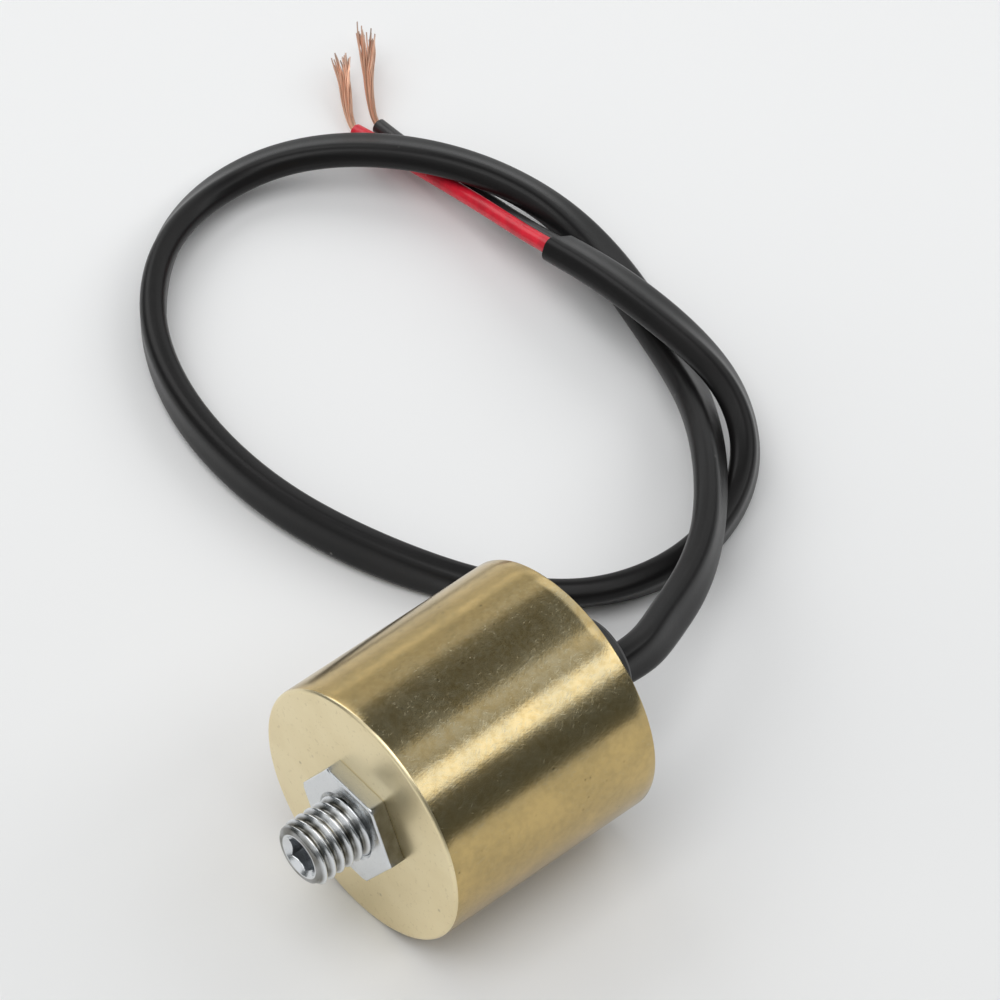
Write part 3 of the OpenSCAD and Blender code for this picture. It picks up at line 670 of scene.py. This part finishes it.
def flat_outline(thickness, width, corner, waist):
    """Outline of the flat sheath: rounded edges, and a slight waist between the two cores."""
    outline = []
    for quarter, (x, y) in enumerate(((1, 1), (-1, 1), (-1, -1), (1, -1))):
        for k in range(8):
            a = TAU / 4 * (quarter + k / 7)
            outline.append((x * (thickness / 2 - corner) + corner * math.cos(a),
                            y * (width / 2 - corner) + corner * math.sin(a)))
        if quarter in (1, 3):
            for share in (0.6, 0.3, 0, -0.3, -0.6):
                inset = waist * (1 + math.cos(math.pi * share)) / 2
                outline.append((x * (thickness / 2 - inset), share * y * (width / 2 - corner)))
    return outline


def lead_ends():
    """Where each core leaves the sheath's end, and the way that it goes."""
    end = len(SHEATH_ROUTE) - 1
    centre, way, _, wide = section_at(SHEATH_ROUTE, end)
    return [(centre + side * CORE_PITCH / 2 * wide, way) for side in (1, -1)]


def core_route(start, way, rest):
    return (tuple(start), tuple(start + CORE_LEAD_OUT * way), *rest)


def tube_map(mesh, around, lengths):
    """UV map of a tube: round it along U, along it in widths along V."""
    layer = mesh.uv_layers.new(name="along")
    for loop in mesh.loops:
        k = loop.vertex_index
        layer.data[loop.index].uv = (k % around / around, lengths[min(k // around, len(lengths) - 1)])


def path_lengths(path):
    total = 0
    lengths = [0]
    for a, b in zip(path, path[1:]):
        total += (b - a).length
        lengths.append(total)
    return lengths


class VALVE_OT_stage(bpy.types.Operator):
    """Camera, pale floor, softboxes and room."""

    bl_idname = "valve.stage"
    bl_label = "Stage"

    def execute(self, context):
        scene = context.scene
        scene.view_settings.view_transform = "Standard"
        data = bpy.data.cameras.new("photo_camera")
        data.lens = CAMERA_LENS
        data.sensor_width = SENSOR_WIDTH
        data.clip_start = 0.01
        camera = bpy.data.objects.new("photo_camera", data)
        camera.location = CAMERA_PLACE
        camera.rotation_euler = Vector(CAMERA_AIM).to_track_quat("-Z", "Y").to_euler()
        scene.collection.objects.link(camera)
        scene.camera = camera
        self.floor(scene)
        self.room(scene)
        for name, box in SOFTBOXES.items():
            self.softbox(scene, name, *box)
        return {"FINISHED"}

    def floor(self, scene):
        f = Finish("pale_floor")
        cloud = f.noise(0.004, 2)
        x, y, _ = f.apart(f.place)
        # Painted light: the floor is painted lighter towards the back, as if more light fell there
        back = 0.66 * y - 0.75 * x
        base = f.blend(f.between(back, -40, 130), (0.85, 0.85, 0.852), (0.91, 0.91, 0.914))
        material = f.done({"Base Color": base, "Roughness": 0.7 + 0.1 * cloud, "Specular IOR Level": 0.2})
        shape = bmesh.new()
        bmesh.ops.create_circle(shape, cap_ends=True, segments=96, radius=4)
        mesh = bpy.data.meshes.new("floor")
        shape.to_mesh(mesh)
        shape.free()
        mesh.materials.append(material)
        floor = bpy.data.objects.new("floor", mesh)
        scene.collection.objects.link(floor)

    def room(self, scene):
        world = bpy.data.worlds.new("room")
        world.use_nodes = True
        scene.world = world
        g = Graph(world.node_tree)
        air = g.add("ShaderNodeBackground", None, {"Color": (*ROOM, 1), "Strength": 1.0})
        g.add("ShaderNodeOutputWorld", None, {"Surface": air})

    def softbox(self, scene, name, toward, distance, across, length, level):
        """A panel in that direction: across lies in the plane square to the can, length along the can."""
        z = Vector(toward).normalized()
        x = Vector((-z.z, 0, z.x)).normalized()
        y = z.cross(x)
        light = bpy.data.lights.new(name, "AREA")
        light.shape = "RECTANGLE"
        light.size = across
        light.size_y = length
        light.energy = PANEL_POWER * across * length * level
        lamp = bpy.data.objects.new(name, light)
        lamp.matrix_world = Matrix.Translation(z * distance) @ Matrix((x, y, z)).transposed().to_4x4()
        scene.collection.objects.link(lamp)


class VALVE_OT_sheath(bpy.types.Operator):
    """Flat two-core lead, from the boss to its free end."""

    bl_idname = "valve.sheath"
    bl_label = "Sheath"

    def execute(self, context):
        sizes = context.scene.valve_lead
        t, w = sizes.thickness / MM, sizes.width / MM
        outline = flat_outline(t, w, corner=1.3, waist=0.05)
        mouth = flat_outline(t - 0.9, w - 0.9, corner=0.9, waist=0.02)
        mouth_depth = 1.6
        path = []
        rings = []
        for u in steps(0, len(SHEATH_ROUTE) - 1, 460):
            centre, way, flat, wide = section_at(SHEATH_ROUTE, u)
            path.append(centre * MM)
            rings.append([(centre + x * flat + y * wide) * MM for x, y in outline])
        for inward in (0.0, mouth_depth):
            rings.append([(centre - inward * way + x * flat + y * wide) * MM for x, y in mouth])
        mesh = skin("lead_sheath", rings)
        tube_map(mesh, len(outline), [v / sizes.width for v in path_lengths(path)])
        colours = context.scene.valve_finishes
        piece = new_object("lead_sheath", mesh, [sheath_vinyl(colours.sheath)])
        carried(piece, "sheath_pvc", "cable_sheath")
        return {"FINISHED"}


class VALVE_OT_cores(bpy.types.Operator):
    """Red and black cores past the sheath, with their bare strands."""

    bl_idname = "valve.cores"
    bl_label = "Cores and strands"

    def execute(self, context):
        colours = context.scene.valve_finishes
        red = insulation("red_insulation", colours.red, tuple(0.7 * c for c in colours.red))
        black = insulation("black_insulation", (0.02, 0.02, 0.021), (0.034, 0.032, 0.032))
        copper = bare_copper(colours.copper)
        tree = strand_tree()
        ends = lead_ends()
        for k, (colour, material, rest, bundles) in enumerate((
                ("red", red, RED_ROUTE, RED_BUNDLES), ("black", black, BLACK_ROUTE, BLACK_BUNDLES))):
            start, way = ends[k]
            route = core_route(start, way, rest)
            core, path = self.core(context, colour, material, route)
            strands = self.strands(context, colour, tree, copper, route, bundles)
            tuple(start * MM)
        return {"FINISHED"}

    def core(self, context, colour, material, route):
        """One insulated core: it starts inside the sheath's mouth and ends in a cut with the strands' hole."""
        radius = context.scene.valve_lead.core / MM / 2
        sides = 24
        inside = 1.2
        edge_back, edge_in = 0.1, 0.12
        hole, hole_end, hole_depth = 0.62, 0.58, 0.6
        path = []
        rings = []

        def ring(centre, flat, wide, r):
            return [(centre + r * (math.cos(TAU * k / sides) * flat + math.sin(TAU * k / sides) * wide)) * MM
                    for k in range(sides)]

        centre, way, flat, wide = section_at(route, 0)
        path.append((centre - inside * way) * MM)
        rings.append(ring(centre - inside * way, flat, wide, radius))
        for u in steps(0, len(route) - 1, 90):
            centre, way, flat, wide = section_at(route, u)
            path.append(centre * MM)
            rings.append(ring(centre, flat, wide, radius))
        rings[-1] = ring(centre - edge_back * way, flat, wide, radius)
        rings.append(ring(centre, flat, wide, radius - edge_in))
        rings.append(ring(centre, flat, wide, hole))
        rings.append(ring(centre - hole_depth * way, flat, wide, hole_end))
        piece = new_object(f"{colour}_insulation", skin(f"{colour}_insulation", rings), [material])
        carried(piece, f"{colour}_insulation", f"{colour}_core")
        return piece, path

    def strands(self, context, colour, tree, copper, route, bundles):
        """The bare end: each bundle is laid along its own guide, and all become one piece."""
        lead = context.scene.valve_lead
        first_seed = lead.seed + (0 if colour == "red" else 11)
        inside, straight = 1.2, 0.8
        joined = bmesh.new()
        end, way, _, _ = section_at(route, len(route) - 1)
        for k, (rest, count) in enumerate(bundles):
            steer = (tuple(end - inside * way), tuple(end + straight * way), *rest)
            guide = bpy.data.meshes.new("guide")
            points = [on_route(steer, u) * MM for u in steps(0, len(steer) - 1, 40)]
            guide.from_pydata(points, [(i, i + 1) for i in range(len(points) - 1)], [])
            holder = bpy.data.objects.new("guide", guide)
            context.scene.collection.objects.link(holder)
            apply_tree(holder, tree, {
                "Strands": count, "Bundle Radius": 0.11 * MM * math.sqrt(count), "Flare": 0.2,
                "Twist": 2.2, "Fray": 1.8 * MM, "Wire Radius": lead.strand / 2,
                "Seed": first_seed + 3 * k, "Material": copper})
            joined.from_mesh(holder.data)
            bpy.data.objects.remove(holder)
        mesh = bpy.data.meshes.new(f"{colour}_bare_strands")
        joined.to_mesh(mesh)
        joined.free()
        piece = new_object(f"{colour}_bare_strands", mesh, [copper])
        carried(piece, "bare_copper", f"{colour}_strands")
        return piece


class VALVE_OT_can(bpy.types.Operator):
    """Turned brass can with its drilled outlet."""

    bl_idname = "valve.can"
    bl_label = "Can"

    def execute(self, context):
        sizes = context.scene.valve_can
        colours = context.scene.valve_finishes
        r, length, bore = sizes.radius, sizes.length, sizes.radius - sizes.wall
        rim, back = sizes.front_rim, sizes.back_rim
        hole, chamber, seat = 4.05 * MM, 4.28 * MM, 6.6 * MM
        seat_s, chamber_s = 6.4 * MM, 4 * MM
        rows = [(hole, 0), (r - rim, 0)]
        rows += [(r - rim + rim * math.sin(a), rim - rim * math.cos(a)) for a in steps(0, TAU / 4, 6)[1:]]
        faced = len(rows) - 2
        rows += [(r, s) for s in steps(rim, length - back, 24)[1:]]
        rows += [(r - back * 0.3, length - back * 0.3), (r - back, length), (bore + 0.1 * MM, length),
                 (bore, length - 0.1 * MM), (bore, sizes.front_wall), (seat, sizes.front_wall), (seat, seat_s),
                 (chamber, seat_s), (chamber, chamber_s), (hole, chamber_s)]
        bands = [1 if k < faced else 0 for k in range(len(rows))]
        mesh = revolve("can", rows, 240, bands)
        piece = new_object("can", mesh, [turned_brass(colours.brass), faced_brass(colours.face)])
        self.drill(context, piece, sizes)
        carried(piece, "brass", "brass_body")
        return {"FINISHED"}

    def drill(self, context, piece, sizes):
        """Drills the outlet from the side into the valve chamber."""
        depth = 14 * MM
        middle = (-10.6 * MM, FACE_Y + 5.2 * MM, AXIS_Z)
        shape = bmesh.new()
        bmesh.ops.create_cone(shape, cap_ends=True, segments=48, radius1=sizes.outlet / 2,
                              radius2=sizes.outlet / 2, depth=depth)
        bmesh.ops.rotate(shape, verts=shape.verts, matrix=Matrix.Rotation(TAU / 4, 3, "Y"))
        bmesh.ops.translate(shape, verts=shape.verts, vec=middle)
        mesh = bpy.data.meshes.new("drill")
        shape.to_mesh(mesh)
        shape.free()
        drill = bpy.data.objects.new("drill", mesh)
        context.scene.collection.objects.link(drill)
        cut = piece.modifiers.new("outlet", "BOOLEAN")
        cut.object = drill
        cut.solver = "EXACT"
        graph = context.evaluated_depsgraph_get()
        result = bpy.data.meshes.new_from_object(piece.evaluated_get(graph), depsgraph=graph)
        piece.modifiers.remove(cut)
        piece.data = result
        bpy.data.objects.remove(drill)


class VALVE_OT_stud(bpy.types.Operator):
    """Threaded inlet stud with its hex socket, and the thin lock nut."""

    bl_idname = "valve.stud"
    bl_label = "Stud and nut"

    def execute(self, context):
        zinc = bright_zinc(context.scene.valve_finishes.zinc)
        tree = thread_tree()
        self.stud(context.scene.valve_stud, tree, zinc)
        self.nut(context.scene.valve_stud, tree, zinc)
        return {"FINISHED"}

    def stud(self, sizes, tree, zinc):
        crest = 3.96 * MM
        tip = STUD_LOW[1] - FACE_Y
        inner = 4 * MM
        mouth = 2.66 * MM
        nose, heel = 3.22 * MM, 3.6 * MM
        floor = tip + 4.5 * MM
        nozzle, orifice, bore = 1.8 * MM, 0.8 * MM, 1.3 * MM
        seat, shoulder = inner + 1.2 * MM, inner - 1.2 * MM
        around = 120
        socket = hexagon(sizes.socket, sizes.socket_turn)

        def countersunk(depth):
            return lambda a: max(mouth - depth, socket(a))

        rows = [(mouth, tip), (nose, tip), (nose + 0.1 * MM, tip + 0.04 * MM)]
        first = len(rows) - 1
        count = math.ceil((inner - tip - 0.3 * MM) / sizes.pitch * 16)
        for s in steps(tip + 0.12 * MM, inner, count):
            chamfer = min(nose + 0.12 * MM + (s - tip), heel + (inner - s))
            rows.append((min(crest, chamfer), s))
        last = len(rows)
        rows += [(nozzle, inner), (nozzle, seat), (orifice, seat), (orifice, shoulder), (bore, shoulder),
                 (bore, floor + 0.4 * MM), (socket, floor)]
        rows += [(countersunk(d * MM), tip + d * MM) for d in reversed(steps(0.06, 0.72, 11))]
        mesh = revolve("stud", rows, around)
        self.mark(mesh, around, first, last)
        piece = new_object("stud", mesh, [zinc])
        self.cut_thread(piece, tree, sizes, crest, zinc, False)
        carried(piece, "zinc_plate", "inlet_stud")

    def nut(self, sizes, tree, zinc):
        front = NUT_LOW[1] - FACE_Y
        thick = NUT_HIGH[1] - NUT_LOW[1]
        outer = hexagon(sizes.nut_flats, sizes.nut_turn)
        corner = sizes.nut_flats / math.sqrt(3)
        slope = math.sqrt(3)
        mouth = 4.36 * MM
        rounding, corner_cut, back_edge = 0.26 * MM, 0.4 * MM, 0.06 * MM
        minor = 3.3 * MM
        around = 144

        def edged(depth):
            """Radius at a depth under the front face: rounded edges, and corners cut by the chamfer."""
            lost = rounding - math.sqrt(max(0, rounding ** 2 - max(0, rounding - depth) ** 2))
            return lambda a: min(outer(a) - lost, corner - corner_cut + slope * depth)

        edge = [rounding * (1 - math.cos(a)) for a in steps(0, TAU / 4, 6)]
        rows = [(mouth, front)] + [(edged(d), front + d) for d in edge]
        rows += [(outer, front + thick - back_edge), (lambda a: outer(a) - back_edge, front + thick)]
        first = len(rows)
        for depth in steps(0, thick, 26):
            cone = mouth - min(depth, thick - depth)
            rows.append((max(minor, cone), front + thick - depth))
        mesh = revolve("nut", rows[:-1], around)
        self.mark(mesh, around, first, len(rows) - 1)
        piece = new_object("nut", mesh, [zinc])
        self.cut_thread(piece, tree, sizes, 4.0 * MM, zinc, True)
        carried(piece, "zinc_plate", "lock_nut")

    def mark(self, mesh, around, first, last):
        """Marks the rows of points that get the thread."""
        layer = mesh.attributes.new("threaded", "BOOLEAN", "POINT")
        layer.data.foreach_set("value", [first <= k // around < last for k in range(len(mesh.vertices))])

    def cut_thread(self, piece, tree, sizes, crest, zinc, inside):
        apply_tree(piece, tree, {"Pitch": sizes.pitch, "Depth": sizes.depth, "Crest Radius": crest,
                                 "Inside": inside, "Material": zinc})


class VALVE_OT_inner(bpy.types.Operator):
    """Finishes of the cap and the inner pieces, which keep their solids' shapes; the spring gets a mesh of its
    own.
    """

    bl_idname = "valve.inner"
    bl_label = "Cap and inner pieces"

    def execute(self, context):
        finishes = {slot: inner_finish(slot, *look) for slot, look in INNER_FINISHES.items()}
        finishes["cap_plastic"] = moulded_plastic()
        for name in ("red_insulation", "black_insulation"):
            finishes[name] = bpy.data.materials[name]
        for part in frame["record"]["subparts"]:
            piece = frame["nodes"][part["node"]]
            if part["material_slot"] in finishes and not piece.hide_render:
                for place in piece.material_slots:
                    place.material = finishes[part["material_slot"]]
        self.spring()
        return {"FINISHED"}

    def spring(self):
        """Gives the return spring a mesh of its own."""
        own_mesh(frame["nodes"]["return_spring"])


class VALVE_PT_panel(bpy.types.Panel):
    """The valve's pieces, each with its own button."""

    bl_idname = "VALVE_PT_panel"
    bl_label = "Solenoid valve"
    bl_space_type = "VIEW_3D"
    bl_region_type = "UI"
    bl_category = "Valve"

    def draw(self, context):
        for operator in OPERATORS:
            self.layout.operator(operator.bl_idname)


OPERATORS = (VALVE_OT_stage, VALVE_OT_sheath, VALVE_OT_cores, VALVE_OT_can, VALVE_OT_stud, VALVE_OT_inner)
GROUPS = {"valve_can": CanSizes, "valve_stud": StudSizes, "valve_lead": LeadSizes, "valve_finishes": Finishes}
CLASSES = (*GROUPS.values(), *OPERATORS, VALVE_PT_panel)


def register():
    for cls in CLASSES:
        bpy.utils.register_class(cls)
    for name, group in GROUPS.items():
        setattr(bpy.types.Scene, name, PointerProperty(type=group))


def unregister():
    for name in GROUPS:
        delattr(bpy.types.Scene, name)
    for cls in reversed(CLASSES):
        bpy.utils.unregister_class(cls)


def main():
    register()
    bpy.ops.valve.stage()
    bpy.ops.valve.sheath()
    bpy.ops.valve.cores()
    bpy.ops.valve.can()
    bpy.ops.valve.stud()
    bpy.ops.valve.inner()


if __name__ == "__main__":
    main()
